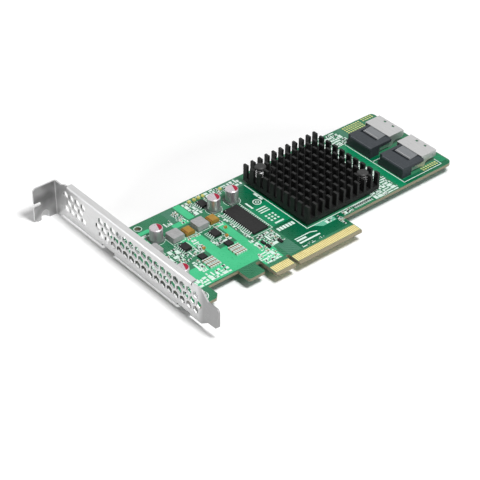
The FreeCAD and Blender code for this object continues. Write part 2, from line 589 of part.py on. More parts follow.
def power_chip(x, y):
    hx, hy = POWER_CHIP_X / 2, POWER_CHIP_Y / 2
    return moulded_chip(x - hx, x + hx, y - hy, y + hy, 0.1, POWER_CHIP_H)


def regulator(x, y):
    return plate_z(snipped_square(x, y, REGULATOR_SIZE / 2, (0, 0, 0.4, 0)), 0, REGULATOR_H)


def transistor(x, y):
    hx, hy = TRANSISTOR_X / 2, TRANSISTOR_Y / 2
    return moulded_chip(x - hx, x + hx, y - hy, y + hy, 0.1, TRANSISTOR_H)


def indicator_light(x, y):
    return plate_y([(x - 0.8, 0), (x + 0.8, 0), (x + 0.8, 0.6), (x + 0.5, 1.0), (x - 0.5, 1.0), (x - 0.8, 0.6)],
                   y - 0.6, y + 0.6)


def capacitor_bank_places():
    """Middles of the chip capacitors that stand in rows in front of the two regulators."""
    return [(bank_x + column * BANK_STEP_X, BANK_Y - row * BANK_STEP_Y)
            for bank_x in BANK_XS for row in range(BANK_ROWS) for column in range(BANK_COLUMNS)]


def chip_part(x, y, length_x, length_y, height):
    """Small ceramic block that lies flat on its two solder pads."""
    return box(x - length_x / 2, y - length_y / 2, 0, x + length_x / 2, y + length_y / 2, height)


def main():
    os.makedirs("parts", exist_ok=True)
    save("circuit_board", circuit_board())
    save("edge_contacts_front", *edge_contacts(0, CONTACT_T))
    save("edge_contacts_back", *edge_contacts(-BOARD_T - CONTACT_T, -BOARD_T))
    save("bracket", bracket())
    save("bracket_screws", *[bracket_screw(y) for y in EAR_HOLE_Y])

    save("controller_chip", controller_chip())
    save("thermal_pad", thermal_pad())
    save("heatsink", heatsink())
    for number, (x, y) in enumerate(push_pin_places(), 1):
        save("push_pin_%d" % number, push_pin(x, y))
        save("push_pin_spring_%d" % number, push_spring(x, y))

    for number, y0 in enumerate(PORT_FRONT_Y, 1):
        save("port_%d_housing" % number, port_housing(y0))
        save("port_%d_shield" % number, port_shield(y0))
        save("port_%d_latch" % number, port_latch(y0))
        save("port_%d_contacts" % number, *port_contacts(y0))

    for number, (x, y) in enumerate(CAN_PLACES, 1):
        save("capacitor_can_%d" % number, capacitor_can(x, y))
        save("capacitor_base_%d" % number, capacitor_base(x, y))
    for number, (x, y) in enumerate(INDUCTOR_PLACES, 1):
        save("inductor_%d" % number, inductor(x, y))
    save("inductor_terminals", *[t for x, y in INDUCTOR_PLACES for t in inductor_terminals(x, y)])
    for number, (x, y) in enumerate(TANTALUM_PLACES, 1):
        save("tantalum_capacitor_%d" % number, tantalum_body(x, y))
    save("tantalum_terminals", *[t for x, y in TANTALUM_PLACES for t in tantalum_terminals(x, y)])

    save("memory_chip", moulded_chip(*MEMORY_X, *MEMORY_Y, 0.1, MEMORY_H))
    save("memory_chip_leads", *memory_leads())
    for number, (x, y) in enumerate(POWER_CHIP_PLACES, 1):
        save("power_chip_%d" % number, power_chip(x, y))
    save("power_chip_leads", *[lead for x, y in POWER_CHIP_PLACES for lead in power_chip_leads(x, y)])
    for number, (x, y) in enumerate(REGULATOR_PLACES, 1):
        save("regulator_%d" % number, regulator(x, y))
    save("transistors", *[transistor(x, y) for x, y in TRANSISTOR_PLACES])
    save("indicator_lights", *[indicator_light(x, y) for x, y in LIGHT_PLACES])
    save("chip_capacitors", *[chip_part(x, y, CHIP_CAPACITOR_X, CHIP_CAPACITOR_Y, CHIP_CAPACITOR_H)
                              for x, y in capacitor_bank_places()])
    save("chip_resistors", *[chip_part(x, y, RESISTOR_X, RESISTOR_Y, RESISTOR_H)
                             for x, y in RESISTOR_PLACES])


main()
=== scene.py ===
import json
import math
import random

import bmesh
import bpy
from mathutils import Matrix, Vector


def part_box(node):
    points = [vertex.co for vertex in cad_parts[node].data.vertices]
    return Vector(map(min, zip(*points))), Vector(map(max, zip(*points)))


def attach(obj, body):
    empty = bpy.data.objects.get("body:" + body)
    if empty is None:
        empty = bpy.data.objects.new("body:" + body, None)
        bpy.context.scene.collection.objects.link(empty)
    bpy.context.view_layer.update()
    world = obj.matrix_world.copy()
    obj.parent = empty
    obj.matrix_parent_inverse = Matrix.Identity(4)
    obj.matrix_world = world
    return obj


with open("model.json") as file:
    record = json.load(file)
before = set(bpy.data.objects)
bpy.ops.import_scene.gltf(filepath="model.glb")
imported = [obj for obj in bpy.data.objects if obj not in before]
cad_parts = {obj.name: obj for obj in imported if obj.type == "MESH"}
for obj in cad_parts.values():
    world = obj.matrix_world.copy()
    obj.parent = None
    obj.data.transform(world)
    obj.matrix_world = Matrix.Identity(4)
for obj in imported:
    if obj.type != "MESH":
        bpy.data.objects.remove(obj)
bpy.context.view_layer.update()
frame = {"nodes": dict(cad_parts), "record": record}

MM = 0.001

# Lengths below are millimetres from three datums of the card: X from the bracket's outer face, Y from
# the edge of the contact tongue, Z from the board's component side.
MOUNTS = {mount["name"]: Vector(mount["pos_m"]) for mount in frame["record"]["mounts"]}
BOARD_LOW, BOARD_HIGH = (Vector(corner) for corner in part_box("circuit_board"))
DATUM = Vector((MOUNTS["bracket_face"].x, BOARD_LOW.y, BOARD_HIGH.z))
UNDER_Z = (BOARD_LOW.z - BOARD_HIGH.z) / MM


def at(x, y, z=0.0):
    """Point of the scene from the card's millimetres."""
    return DATUM + Vector((x, y, z)) * MM


def place(node):
    """Lowest and highest corner of a CAD node in the card's millimetres."""
    return [(Vector(corner) - DATUM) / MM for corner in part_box(node)]


def middle(node):
    low, high = place(node)
    return (low.x + high.x) / 2, (low.y + high.y) / 2


def node_points(node):
    """Vertices of a CAD node in the card's millimetres."""
    obj = frame["nodes"][node]
    return [((obj.matrix_world @ vertex.co) - DATUM) / MM for vertex in obj.data.vertices]


def extent(points):
    """Lowest and highest corner of the box round some points."""
    return [Vector([pick(point[axis] for point in points) for axis in range(3)]) for pick in (min, max)]


def numbered(name, count):
    """Names of like nodes, such as inductor_1 to inductor_3."""
    return ["%s_%d" % (name, number) for number in range(1, count + 1)]


def of_ports(part):
    """Names of one part of the two cable ports."""
    return ["port_1_" + part, "port_2_" + part]


# ---------------------------------------------------------------- shader helpers

SPECULAR_LEVEL = 0.22
NOISE_ROUGHNESS = 0.55


def tone(red, green, blue):
    """Linear colour from everyday 0 to 255 values."""
    return tuple(v / 3294.6 if v <= 10 else ((v / 255 + 0.055) / 1.055) ** 2.4 for v in (red, green, blue))


def grey(value):
    return (value, value, value)


def shader(name, color, roughness, metallic=0.0):
    """New material; returns it with its node tree and its principled shader."""
    made = bpy.data.materials.new(name)
    made.use_nodes = True
    made.diffuse_color = (*color, 1)
    bsdf = made.node_tree.nodes["Principled BSDF"]
    bsdf.inputs["Base Color"].default_value = (*color, 1)
    bsdf.inputs["Roughness"].default_value = roughness
    bsdf.inputs["Metallic"].default_value = metallic
    bsdf.inputs["Specular IOR Level"].default_value = SPECULAR_LEVEL
    return made, made.node_tree, bsdf


def feed(tree, socket, value):
    """Give a socket a number, a colour or another node's output."""
    if isinstance(value, bpy.types.NodeSocket):
        tree.links.new(value, socket)
    else:
        socket.default_value = value


def add(tree, kind, settings=(), **inputs):
    """New node; an input's spaces are written as underscores."""
    node = tree.nodes.new(kind)
    for key, value in dict(settings).items():
        setattr(node, key, value)
    for key, value in inputs.items():
        feed(tree, node.inputs[key.replace("_", " ")], value)
    return node


def calculate(tree, operation, *values):
    node = add(tree, "ShaderNodeMath", {"operation": operation})
    for socket, value in zip(node.inputs, values):
        feed(tree, socket, value)
    return node.outputs[0]


def mix(tree, factor, first, second):
    node = add(tree, "ShaderNodeMix", {"data_type": "RGBA"})
    feed(tree, node.inputs["Factor"], factor)
    for socket, value in ((node.inputs[6], first), (node.inputs[7], second)):
        feed(tree, socket, (*value, 1) if isinstance(value, tuple) else value)
    return node.outputs[2]


def ramp(tree, factor, *stops, steps=False):
    """Colour ramp from (position, colour) stops, blended or in steps."""
    node = add(tree, "ShaderNodeValToRGB", Fac=factor)
    node.color_ramp.interpolation = "CONSTANT" if steps else "LINEAR"
    elements = node.color_ramp.elements
    while len(elements) < len(stops):
        elements.new(0.5)
    for element, (where, color) in zip(elements, stops):
        element.position = where
        element.color = (*color, 1)
    return node.outputs["Color"]


def position(tree):
    return add(tree, "ShaderNodeTexCoord").outputs["Object"]


def noise(tree, vector, scale_mm, detail=3.0):
    """Cloudy pattern whose patches are about scale_mm across."""
    return add(tree, "ShaderNodeTexNoise", Vector=vector, Scale=1 / (scale_mm * MM), Detail=detail,
               Roughness=NOISE_ROUGHNESS).outputs["Fac"]


def vary_roughness(tree, bsdf, pattern, low, high):
    feed(tree, bsdf.inputs["Roughness"], ramp(tree, pattern, (0.3, grey(low)), (0.7, grey(high))))


def bump(tree, bsdf, height, strength, distance_mm):
    node = add(tree, "ShaderNodeBump", Height=height, Strength=strength, Distance=distance_mm * MM)
    feed(tree, bsdf.inputs["Normal"], node.outputs["Normal"])


def squareness(tree, axis):
    """How squarely a face looks along an axis, either way: 1 when straight, 0 when edge-on."""
    normal = add(tree, "ShaderNodeNewGeometry").outputs["Normal"]
    return calculate(tree, "ABSOLUTE", add(tree, "ShaderNodeSeparateXYZ", Vector=normal).outputs[axis])


def looking(tree):
    """1 for what the camera sees, straight or in metal and glass, and 0 for light on other things."""
    path = add(tree, "ShaderNodeLightPath")
    seen = path.outputs["Is Camera Ray"]
    for kind in ("Is Glossy Ray", "Is Transmission Ray"):
        seen = calculate(tree, "MAXIMUM", seen, path.outputs[kind])
    return seen


# ---------------------------------------------------------------- mesh helpers

DROP_PROFILE = ((1, 0), (0.8, 0.6), (0.4, 1), (0, 1))


def mesh_object(name, bm, made_material):
    mesh = bpy.data.meshes.new(name)
    bmesh.ops.recalc_face_normals(bm, faces=bm.faces)
    bm.to_mesh(mesh)
    bm.free()
    mesh.materials.append(made_material)
    piece = bpy.data.objects.new(name, mesh)
    bpy.context.collection.objects.link(piece)
    return piece


def rectangle(x0, x1, y0, y1):
    return [(x0, y0), (x1, y0), (x1, y1), (x0, y1)]


def snipped(x0, x1, y0, y1, snip):
    """Rectangle with its four corners cut off."""
    return [(x0 + snip, y0), (x1 - snip, y0), (x1, y0 + snip), (x1, y1 - snip),
            (x1 - snip, y1), (x0 + snip, y1), (x0, y1 - snip), (x0, y0 + snip)]


def around(node, beside, beyond):
    """X0, X1, Y0, Y1 of a node's plan, wider on each side by beside in X and by beyond in Y."""
    low, high = place(node)
    return low.x - beside, high.x + beside, low.y - beyond, high.y + beyond


def ring_points(x, y, radius, count):
    return [(x + radius * math.cos(2 * math.pi * i / count),
             y + radius * math.sin(2 * math.pi * i / count)) for i in range(count)]


def add_prism(bm, outline, z0, z1):
    """Upright prism over an outline of (x, y); a flat face where z0 equals z1."""
    top = [bm.verts.new(at(x, y, z1)) for x, y in outline]
    bm.faces.new(top)
    if z1 == z0:
        return
    bottom = [bm.verts.new(at(x, y, z0)) for x, y in outline]
    bm.faces.new(bottom[::-1])
    count = len(outline)
    for i in range(count):
        j = (i + 1) % count
        bm.faces.new((bottom[i], bottom[j], top[j], top[i]))


def add_rings(bm, x, y, profile, count):
    """Turned surface about the vertical through (x, y), from a profile of (radius, height)."""
    loops = []
    for radius, z in profile:
        if radius == 0:
            loops.append([bm.verts.new(at(x, y, z))] * count)
        else:
            loops.append([bm.verts.new(at(px, py, z)) for px, py in ring_points(x, y, radius, count)])
    for low, high in zip(loops, loops[1:]):
        for i in range(count):
            j = (i + 1) % count
            corners = []
            for vert in (low[i], low[j], high[j], high[i]):
                if vert not in corners:
                    corners.append(vert)
            if len(corners) > 2:
                bm.faces.new(corners)


class Layer:
    """Many small shapes of one finish, gathered into one piece.

    Where a shape is given no levels, it stands on the board and is as high as the layer is thick."""

    def __init__(self, name, finish, slot, thick=0.0):
        self.name, self.finish, self.slot, self.levels = name, finish, slot, (0, thick)
        self.bm = bmesh.new()

    def prism(self, outline, levels=None):
        add_prism(self.bm, outline, *(levels or self.levels))

    def box(self, x0, x1, y0, y1, levels=None):
        self.prism(rectangle(x0, x1, y0, y1), levels)

    def stroke(self, x0, y0, x1, y1, width):
        """Straight bar between two points."""
        ax, ay = Vector((x1 - x0, y1 - y0)).normalized() * width / 2
        self.prism([(x0 - ay, y0 + ax), (x0 + ay, y0 - ax), (x1 + ay, y1 - ax), (x1 - ay, y1 + ax)])

    def path(self, points, width):
        for (x0, y0), (x1, y1) in zip(points, points[1:]):
            self.stroke(x0, y0, x1, y1, width)

    def border(self, x0, x1, y0, y1, width):
        self.path([(x0, y0), (x1, y0), (x1, y1), (x0, y1), (x0, y0)], width)

    def ring(self, x, y, radii, count, levels=None):
        inner, outer = radii
        z0, z1 = levels or self.levels
        add_rings(self.bm, x, y, [(inner, z0), (inner, z1), (outer, z1), (outer, z0)], count)

    def drop(self, x, y, radius, z, height, count):
        """Rounded drop on the surface at z; a negative height hangs under it."""
        profile = [(radius * share, z + height * rise) for share, rise in DROP_PROFILE]
        add_rings(self.bm, x, y, profile, count)

    def done(self):
        piece = mesh_object(self.name, self.bm, self.finish)
        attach(piece, "root")


# ---------------------------------------------------------------- studio

CAMERA_AZIMUTH, CAMERA_ELEVATION, CAMERA_ROLL = -40.24, 36.92, 0.49      # degrees
CAMERA_TARGET, CAMERA_DISTANCE = (47.5, 30.0, 0.0), 748.0
CAMERA_LENS, CAMERA_SENSOR = 123.8, 36
CAMERA_CLIP_M = (0.05, 20)

# Round lamps: where each stands, what it faces, its size and its watts.
LAMPS = {"key_light": ((75, -225, 600), (80, 40, 0), 190, 4.15),
         "left_light": ((-520, 290, 150), (10, 60, 0), 300, 0.9),
         "front_light": ((160, -440, 400), (90, 30, 0), 260, 0.4)}
WORLD_LEVEL = 0.13

# The floor's own light: its level at some distances in metres from a point in front of the card's middle.
GLOW = ((0.09, 0.0), (0.13, 0.2), (0.3, 0.5), (0.9, 1.0))
GLOW_CENTRE = (0.0, -0.03, 0.0)
FLOOR_REACH, PAPER_ROUGHNESS, PAPER_PATCH = 3000, 0.9, 60.0


def make_camera():
    azimuth, elevation, roll = (math.radians(v) for v in (CAMERA_AZIMUTH, CAMERA_ELEVATION, CAMERA_ROLL))
    back = Vector((math.sin(azimuth) * math.cos(elevation), -math.cos(azimuth) * math.cos(elevation),
                   math.sin(elevation)))
    level = Vector((math.cos(azimuth), math.sin(azimuth), 0))
    steep = back.cross(level)
    right = level * math.cos(roll) + steep * math.sin(roll)
    up = steep * math.cos(roll) - level * math.sin(roll)
    data = bpy.data.cameras.new("camera")
    data.lens, data.sensor_width, data.sensor_fit = CAMERA_LENS, CAMERA_SENSOR, "AUTO"
    data.clip_start, data.clip_end = CAMERA_CLIP_M
    camera = bpy.data.objects.new("camera", data)
    bpy.context.collection.objects.link(camera)
    turn = Matrix((right, up, back)).transposed().to_4x4()
    camera.matrix_world = Matrix.Translation(at(*CAMERA_TARGET) + back * CAMERA_DISTANCE * MM) @ turn
    bpy.context.scene.camera = camera


def make_lamps():
    for name, (spot, target, size, watts) in LAMPS.items():
        data = bpy.data.lights.new(name, "AREA")
        data.shape, data.size, data.energy = "DISK", size * MM, watts
        lamp = bpy.data.objects.new(name, data)
        bpy.context.collection.objects.link(lamp)
        lamp.location = at(*spot)
        lamp.rotation_euler = (at(*target) - lamp.location).to_track_quat("-Z", "Y").to_euler()


def make_world():
    """Faint even light on the card, and white for what looks past it."""
    world = bpy.data.worlds.new("studio")
    world.use_nodes = True
    tree = world.node_tree
    soft = tree.nodes["Background"]
    soft.inputs["Color"].default_value = (1, 1, 1, 1)
    soft.inputs["Strength"].default_value = WORLD_LEVEL
    white = add(tree, "ShaderNodeBackground", Color=(1, 1, 1, 1), Strength=1.0)
    seen = add(tree, "ShaderNodeMixShader", Fac=looking(tree))
    tree.links.new(soft.outputs["Background"], seen.inputs[1])
    tree.links.new(white.outputs["Background"], seen.inputs[2])
    tree.links.new(seen.outputs["Shader"], tree.nodes["World Output"].inputs["Surface"])
    bpy.context.scene.world = world
    bpy.context.scene.view_settings.view_transform = "Standard"


def floor_material():
    """Pale paper that is seen to glow, from nothing near the card, where its shadow stays, to white."""
    made, tree, bsdf = shader("floor_paper", grey(0.97), PAPER_ROUGHNESS)
    where = position(tree)
    cloud = noise(tree, where, PAPER_PATCH)
    feed(tree, bsdf.inputs["Base Color"], ramp(tree, cloud, (0.3, grey(0.965)), (0.7, grey(0.98))))
    bsdf.inputs["Specular IOR Level"].default_value = 0.0
    away = add(tree, "ShaderNodeVectorMath", {"operation": "DISTANCE"})
    feed(tree, away.inputs[0], where)
    feed(tree, away.inputs[1], GLOW_CENTRE)
    glowing = ramp(tree, away.outputs["Value"], *((reach, grey(level)) for reach, level in GLOW))
    glow = add(tree, "ShaderNodeEmission", Color=glowing, Strength=looking(tree))
    lit = add(tree, "ShaderNodeAddShader")
    tree.links.new(bsdf.outputs["BSDF"], lit.inputs[0])
    tree.links.new(glow.outputs["Emission"], lit.inputs[1])
    tree.links.new(lit.outputs["Shader"], tree.nodes["Material Output"].inputs["Surface"])
    return made


def make_floor():
    bm = bmesh.new()
    add_prism(bm, rectangle(-FLOOR_REACH, FLOOR_REACH, -FLOOR_REACH, FLOOR_REACH), 0, 0)
    floor = mesh_object("floor", bm, floor_material())
    floor.location.z = -DATUM.z


# ---------------------------------------------------------------- finishes

GLOSS_SPREAD, CLOUD_GRAINS, RELIEF, RELIEF_MM = 0.12, 6, 0.5, 0.01
STREAK_STRETCH, STREAK_RELIEF = 0.04, 0.12
MASK_ROUGHNESS, MASK_PATCH, MASK_GRAIN, WEAVE_GRAIN = 0.3, 12.0, 0.8, 0.25
TRACK_PATCH, TRACK_PITCH, SLANT_PITCH, TRACK_RELIEF, TRACK_MM = 7.0, 0.9, 1.1, 0.12, 0.02
WAVE_LENGTH = 0.314      # of a wave pattern at scale 1
FLAT = 0.98              # squareness above which a face is the board's flat side
# Painted light on the bracket: the size of the painted reflection patches on its tab, then how far from
# its lower end the tang's painted shade is full and where it is gone.
TAB_REFLECTION_PATCH = 9.0
TANG_SHADED_M, TANG_UNSHADED_M = 0.010, 0.014     # from the bracket's lower end, in metres


def speckled(name, color, shade, roughness, grain_mm, metallic=0.0):
    """Finish whose colour wanders between two shades, with matching gloss and a fine relief."""
    made, tree, bsdf = shader(name, color, roughness, metallic)
    where = position(tree)
    cloud = noise(tree, where, grain_mm * CLOUD_GRAINS)
    feed(tree, bsdf.inputs["Base Color"], ramp(tree, cloud, (0.35, color), (0.68, shade)))
    fine = noise(tree, where, grain_mm, 2.0)
    low, high = max(roughness - GLOSS_SPREAD, 0.05), min(roughness + GLOSS_SPREAD, 1.0)
    vary_roughness(tree, bsdf, fine, low, high)
    bump(tree, bsdf, fine, RELIEF, RELIEF_MM)
    return made


def bands(tree, where, direction, pitch_mm):
    """Thin parallel lines, pitch_mm apart, that run across the given axis or diagonal."""
    settings = {"wave_type": "BANDS", "bands_direction": direction}
    scale = WAVE_LENGTH / (pitch_mm * MM)
    return add(tree, "ShaderNodeTexWave", settings, Vector=where, Scale=scale).outputs["Fac"]


def tracks(tree, where):
    """Copper tracks under the mask: patches of parallel lines, each patch with its own direction."""
    settings = {"distance": "MANHATTAN"}
    patches = add(tree, "ShaderNodeTexVoronoi", settings, Vector=where, Scale=1 / (TRACK_PATCH * MM))
    pick = add(tree, "ShaderNodeSeparateColor", Color=patches.outputs["Color"]).outputs[0]
    square = mix(tree, ramp(tree, pick, (0.0, grey(0)), (0.45, grey(1)), steps=True),
                 bands(tree, where, "X", TRACK_PITCH), bands(tree, where, "Y", TRACK_PITCH))
    lines = mix(tree, ramp(tree, pick, (0.0, grey(0)), (0.7, grey(1)), steps=True),
                square, bands(tree, where, "DIAGONAL", SLANT_PITCH))
    return ramp(tree, lines, (0.7, grey(0)), (0.95, grey(0.7)))


def mask(name, low, high, track, laminate=None):
    """Solder mask between two greens, with raised copper tracks in a third; bare laminate at edges."""
    made, tree, bsdf = shader(name, low, MASK_ROUGHNESS)
    where = position(tree)
    cloud = noise(tree, where, MASK_PATCH)
    lines = tracks(tree, where)
    color = mix(tree, lines, ramp(tree, cloud, (0.32, low), (0.68, high)), track)
    if laminate:
        weave = ramp(tree, noise(tree, where, WEAVE_GRAIN, 2.0), (0.35, laminate[0]), (0.65, laminate[1]))
        color = mix(tree, calculate(tree, "GREATER_THAN", squareness(tree, "Z"), FLAT), weave, color)
    feed(tree, bsdf.inputs["Base Color"], color)
    fine = noise(tree, where, MASK_GRAIN, 2.0)
    vary_roughness(tree, bsdf, fine, MASK_ROUGHNESS - 0.06, MASK_ROUGHNESS + 0.1)
    bump(tree, bsdf, lines, TRACK_RELIEF, TRACK_MM)
    return made


def brushed_metal(name, color, shade, roughness, along, grain_mm=0.25, metallic=1.0):
    """Metal with fine streaks that run along one axis."""
    made, tree, bsdf = shader(name, color, roughness, metallic)
    stretch = tuple(STREAK_STRETCH if axis == along else 1 for axis in "xyz")
    mapped = add(tree, "ShaderNodeMapping", Vector=position(tree), Scale=stretch).outputs["Vector"]
    streaks = noise(tree, mapped, grain_mm, 4.0)
    feed(tree, bsdf.inputs["Base Color"], ramp(tree, streaks, (0.3, color), (0.7, shade)))
    vary_roughness(tree, bsdf, streaks, roughness - 0.07, roughness + 0.08)
    bump(tree, bsdf, streaks, STREAK_RELIEF, RELIEF_MM)
    return made


def bracket_steel():
    """Plated sheet steel, with painted shade and painted reflection patches on the tab folded square to
    the face, and painted shade on the tang's lower end.
    """
    made = brushed_metal("bracket_steel", grey(0.58), grey(0.66), 0.34, "y", metallic=0.9)
    tree = made.node_tree
    base = tree.nodes["Principled BSDF"].inputs["Base Color"]
    sheet = base.links[0].from_socket
    # Faces square to Y, on the tab, get painted shade with cloudy painted reflections in place of the
    # sheet's streaks.
    folded = ramp(tree, squareness(tree, "Y"), (0.4, grey(0)), (0.9, grey(1)))
    cloud = noise(tree, position(tree), TAB_REFLECTION_PATCH, 1.0)
    tab = ramp(tree, cloud, (0.35, grey(0.19)), (0.62, grey(0.4)))
    low, _ = place("bracket")
    end = (frame["nodes"]["bracket"].matrix_world.inverted() @ at(low.x, low.y, low.z)).y
    along = add(tree, "ShaderNodeSeparateXYZ", Vector=position(tree)).outputs["Y"]
    past = add(tree, "ShaderNodeMapRange", Value=along, From_Min=end + TANG_SHADED_M,
               From_Max=end + TANG_UNSHADED_M)
    # The lowest part of the tang is painted dark grey as shade, fading into the rest of the sheet.
    feed(tree, base, mix(tree, past.outputs["Result"], grey(0.31), mix(tree, folded, sheet, tab)))
    return made


def cad_finishes():
    """One finish for each material slot of the record."""
    laminate = (tone(120, 114, 94), tone(152, 146, 122))
    return {
        "board": mask("solder_mask", tone(36, 104, 72), tone(50, 120, 86), tone(56, 132, 96), laminate),
        "gold": speckled("gold_plating", tone(228, 214, 150), tone(238, 226, 164), 0.36, 0.3, 0.3),
        "bracket_steel": bracket_steel(),
        "screw_steel": brushed_metal("screw_steel", (0.54, 0.55, 0.56), (0.67, 0.67, 0.68), 0.28, "x"),
        "heatsink_black": speckled("black_anodising", grey(0.006), grey(0.010), 0.5, 0.2),
        "chip_black": speckled("chip_moulding", grey(0.012), grey(0.019), 0.55, 0.1),
        "pad_grey": speckled("thermal_pad", (0.5, 0.51, 0.53), (0.6, 0.61, 0.63), 0.8, 0.3),
        "spring_steel": brushed_metal("spring_wire", grey(0.5), grey(0.66), 0.3, "z", 0.1),
        "push_pin_plastic": speckled("pin_plastic", grey(0.034), grey(0.046), 0.5, 0.3),
        "port_plastic": speckled("port_plastic", (0.029, 0.035, 0.041), (0.041, 0.048, 0.056), 0.38, 0.15),
        "shield_steel": brushed_metal("shield_tin", grey(0.51), grey(0.59), 0.34, "y", metallic=0.8),
        # The latch is darker than the shield's tin partly as its own spring steel and partly as painted
        # shade for its slope.
        "latch_steel": brushed_metal("latch_spring", (0.19, 0.2, 0.21), (0.26, 0.27, 0.28), 0.42, "y",
                                     metallic=0.8),
        "can_aluminium": brushed_metal("can_aluminium", (0.56, 0.51, 0.54), (0.60, 0.55, 0.58), 0.32, "z",
                                       grain_mm=0.8, metallic=0.8),
        "base_moulding": speckled("base_moulding", tone(96, 108, 102), tone(118, 130, 124), 0.55, 0.15),
        "inductor_grey": speckled("pressed_ferrite", grey(0.34), grey(0.42), 0.6, 0.2),
        "tantalum_tan": speckled("tan_moulding", tone(152, 116, 50), tone(174, 136, 66), 0.5, 0.25),
        "tin": speckled("tinned_metal", (0.66, 0.76, 0.71), (0.78, 0.86, 0.82), 0.4, 0.2, 0.4),
        "light_yellow": speckled("clear_cap", tone(196, 190, 96), tone(222, 218, 140), 0.2, 0.3),
        "ceramic_tan": speckled("fired_ceramic", tone(142, 128, 108), tone(184, 166, 144), 0.5, 0.3),
        "resistor_black": speckled("glazed_film", grey(0.02), grey(0.04), 0.35, 0.3),
    }


def finish_cad(finishes):
    slots = {part["node"]: part["material_slot"] for part in frame["record"]["subparts"]}
    for node, obj in frame["nodes"].items():
        for holder in obj.material_slots:
            holder.material = finishes[slots[node]]


# ---------------------------------------------------------------- plan of the board

# Flat nodes take no room on the board. The others take it where they come near its surface.
FLAT_NODES = ("circuit_board", "edge_contacts_front", "edge_contacts_back")
NEAR_LOW, NEAR_HIGH = -0.2, 0.6
CELL = 0.25


def taken_cells():
    """Cells of the board's plane that a CAD part stands on."""
    cells = set()
    for node, obj in frame["nodes"].items():
        if node in FLAT_NODES:
            continue
        points = node_points(node)
        for face in obj.data.polygons:
            low, high = extent([points[i] for i in face.vertices])
            if low.z <= NEAR_HIGH and high.z >= NEAR_LOW:
                cells |= cells_under(low.x, high.x, low.y, high.y)
    return cells


def cells_under(x0, x1, y0, y1):
    return {(i, j) for i in range(math.floor(x0 / CELL), math.floor(x1 / CELL) + 1)
            for j in range(math.floor(y0 / CELL), math.floor(y1 / CELL) + 1)}


def reserve(cells, x0, x1, y0, y1):
    """Take the cells under a rectangle; False, and nothing taken, where one is in use already."""
    wanted = cells_under(x0, x1, y0, y1)
    if wanted & cells:
        return False
    cells |= wanted
    return True


def islands(node):
    """Lowest and highest corner of each separate solid of a CAD node."""
    points = node_points(node)
    spots = [tuple(round(value, 3) for value in point) for point in points]
    leader = {spot: spot for spot in spots}

    def find(spot):
        while leader[spot] != spot:
            spot = leader[spot]
        return spot

    for face in frame["nodes"][node].data.polygons:
        first = find(spots[face.vertices[0]])
        for i in face.vertices[1:]:
            leader[find(spots[i])] = first
    groups = {}
    for point, spot in zip(points, spots):
        groups.setdefault(find(spot), []).append(point)
    return [extent(group) for group in groups.values()]


# ---------------------------------------------------------------- board artwork

# Heights of the artwork. Each kind of pour has a level of its own, since pours of two kinds may overlap.
POUR_Z, POUR_STEP, INK_Z, PAD_Z = 0.01, 0.004, 0.035, 0.045
UNDER_PADS = (UNDER_Z - PAD_Z, UNDER_Z)

# Copper areas, as X0, X1, Y0, Y1; a few among the muted and deep ones are painted sheen and painted shade
# instead.
POUR_SNIP = 0.4
BRIGHT_POURS = [(30.6, 50.6, 13.9, 21.8), (30.6, 36.4, 21.8, 46.0), (46.2, 50.6, 21.8, 46.0),
                (39.2, 43.0, 57.0, 69.2), (30.0, 38.6, 55.2, 58.4), (13.8, 20.4, 60.8, 63.2),
                (13.8, 18.2, 54.2, 58.2), (12.0, 30.6, 13.9, 21.4), (44.8, 55.2, 8.6, 13.9),
                (13.8, 30.6, 21.4, 27.0), (36.4, 46.2, 21.8, 30.6), (26.0, 30.6, 38.6, 47.0),
                (50.6, 56.0, 13.9, 24.0)]
# Muted areas: the first two are painted sheen, a lighter, greyer green where the mask catches the light;
# the last two are copper.
MUTED_POURS_AND_SHEEN = [(57.8, 66.0, 7.6, 17.0), (66.0, 77.0, 62.4, 69.2), (142.0, 145.0, 60.8, 69.2),
               (31.8, 37.8, 59.0, 68.8)]
# Deep areas: the last two are painted shade, at the foot of the first port's housing and in the gap
# between the two housings; the others are copper.
DEEP_POURS_AND_SHADE = [(65.0, 78.0, 7.6, 28.0), (65.0, 78.0, 46.0, 62.2), (78.0, 95.2, 7.6, 17.2),
              (95.2, 97.0, 14.0, 17.2), (137.4, 166.4, 13.6, 17.6), (137.6, 143.4, 36.8, 41.0)]
FRESH_POURS = [(65.0, 78.0, 28.0, 46.0), (133.2, 137.2, 13.6, 57.0), (163.0, 167.0, 16.6, 22.0)]
PALE_POUR = [(84.0, 14.0), (92.4, 14.0), (92.4, 17.0), (80.4, 17.0)]


def pours_with_painted_light():
    """Flat areas, each in its own green: copper seen through the mask, and painted sheen and painted shade
    where noted at the lists.
    """
    kinds = [("pours_bright", BRIGHT_POURS, tone(58, 180, 124), tone(74, 196, 140), tone(70, 190, 134)),
             ("pours_muted_and_sheen", MUTED_POURS_AND_SHEEN, tone(58, 112, 88), tone(68, 124, 100), tone(78, 136, 112)),
             ("pours_deep_and_shade", DEEP_POURS_AND_SHADE, tone(0, 82, 52), tone(0, 94, 62), tone(4, 114, 76)),
             ("pours_fresh", FRESH_POURS, tone(2, 116, 76), tone(8, 132, 88), tone(24, 150, 104))]
    for level, (name, zones, low, high, track) in enumerate(kinds):
        layer = Layer(name, mask(name + "_mask", low, high, track), "board", POUR_Z + level * POUR_STEP)
        for zone in zones:
            layer.prism(snipped(*zone, POUR_SNIP))
        layer.done()
    pale = mask("pale_mask", tone(84, 166, 136), tone(98, 180, 150), tone(138, 200, 176))
    shelf = Layer("pour_pale", pale, "board", POUR_Z + len(kinds) * POUR_STEP)
    shelf.prism(PALE_POUR)
    shelf.done()


